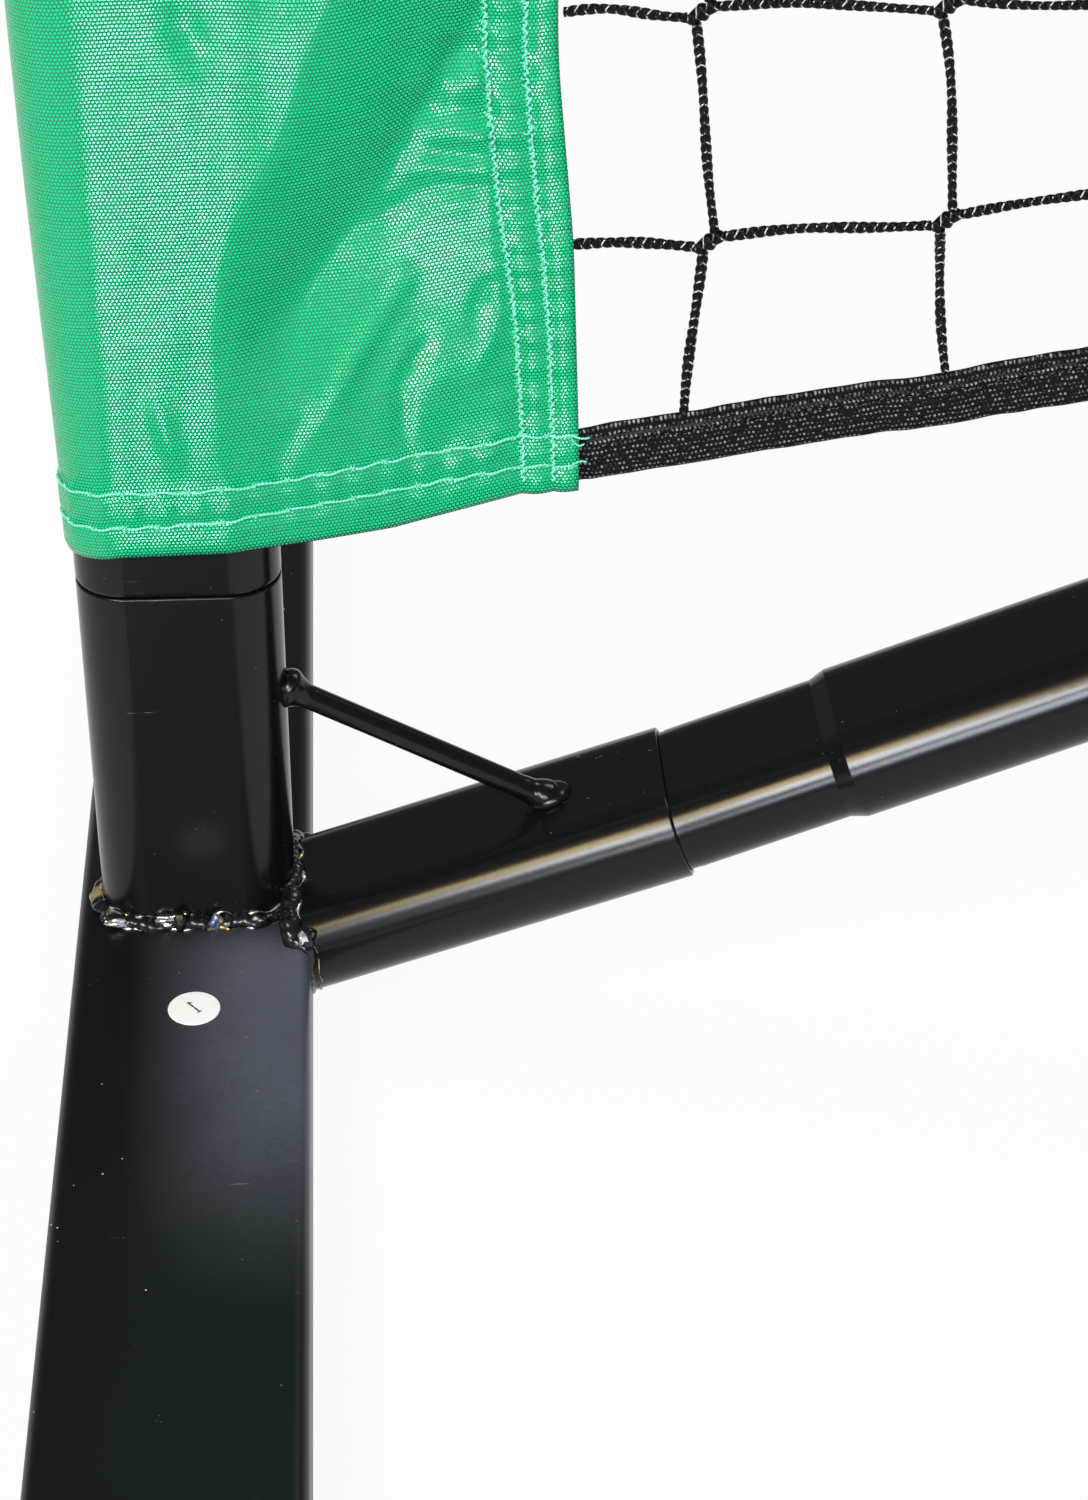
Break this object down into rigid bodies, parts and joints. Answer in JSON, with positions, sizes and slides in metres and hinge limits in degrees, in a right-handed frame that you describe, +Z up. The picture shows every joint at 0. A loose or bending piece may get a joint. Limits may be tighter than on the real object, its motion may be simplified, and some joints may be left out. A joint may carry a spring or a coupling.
{
  "type": "portable court net",
  "caption": "Low free-standing court net: netting with side sleeves drawn over two posts, which stand in a black flat-oval tube frame with foot bars and a raised lower bar.",
  "frame": {"origin": "on the floor at the middle of the net, between the two posts", "axes": "+X along the net to the right, +Y along the foot bars to the back, +Z up"},
  "size_m": [3.056, 0.7062, 0.8],
  "materials": {
    "black_tube": "satin black powder coat",
    "weld": "painted weld bead with bright spots",
    "boot_rubber": "matt moulded rubber",
    "cap_plastic": "satin moulded plastic",
    "sleeve_cloth": "glossy coated oxford weave",
    "net_cord": "braided cord",
    "headband_cloth": "coated polyester",
    "head_cord": "laid rope",
    "tape": "woven binding"
  },
  "bodies": {
    "frame": {"foot_bar_left": "black_tube", "foot_bar_right": "black_tube", "post_socket_left": "black_tube", "post_socket_right": "black_tube", "bar_stub_left": "black_tube", "bar_stub_right": "black_tube", "brace_rod_left": "black_tube", "brace_rod_right": "black_tube", "end_tube_left": "black_tube", "end_tube_right": "black_tube", "middle_tube_left": "black_tube", "middle_tube_right": "black_tube", "weld_left": "weld", "weld_right": "weld", "boot_left_front": "boot_rubber", "boot_left_back": "boot_rubber", "boot_right_front": "boot_rubber", "boot_right_back": "boot_rubber"},
    "post_left": {"upper_post_left": "black_tube", "post_cap_left": "cap_plastic"},
    "post_right": {"upper_post_right": "black_tube", "post_cap_right": "cap_plastic"},
    "net": {"sleeve_left": "sleeve_cloth", "sleeve_right": "sleeve_cloth", "netting": "net_cord", "headband": "headband_cloth", "head_cord": "head_cord", "bottom_tape": "tape"}
  },
  "joints": [
    {"name": "post_left_lift", "type": "slide", "parent": "frame", "child": "post_left", "axis": [0, 0, 1], "range_m": [0, 0.065]},
    {"name": "post_right_lift", "type": "slide", "parent": "frame", "child": "post_right", "axis": [0, 0, 1], "range_m": [0, 0.065]},
    {"name": "net_lift", "type": "slide", "parent": "post_left", "child": "net", "axis": [0, 0, 1], "range_m": [0, 0.7]}
  ],
  "couplings": [
    {"joint": "post_right_lift", "follows": "post_left_lift", "ratio": 1}
  ]
}
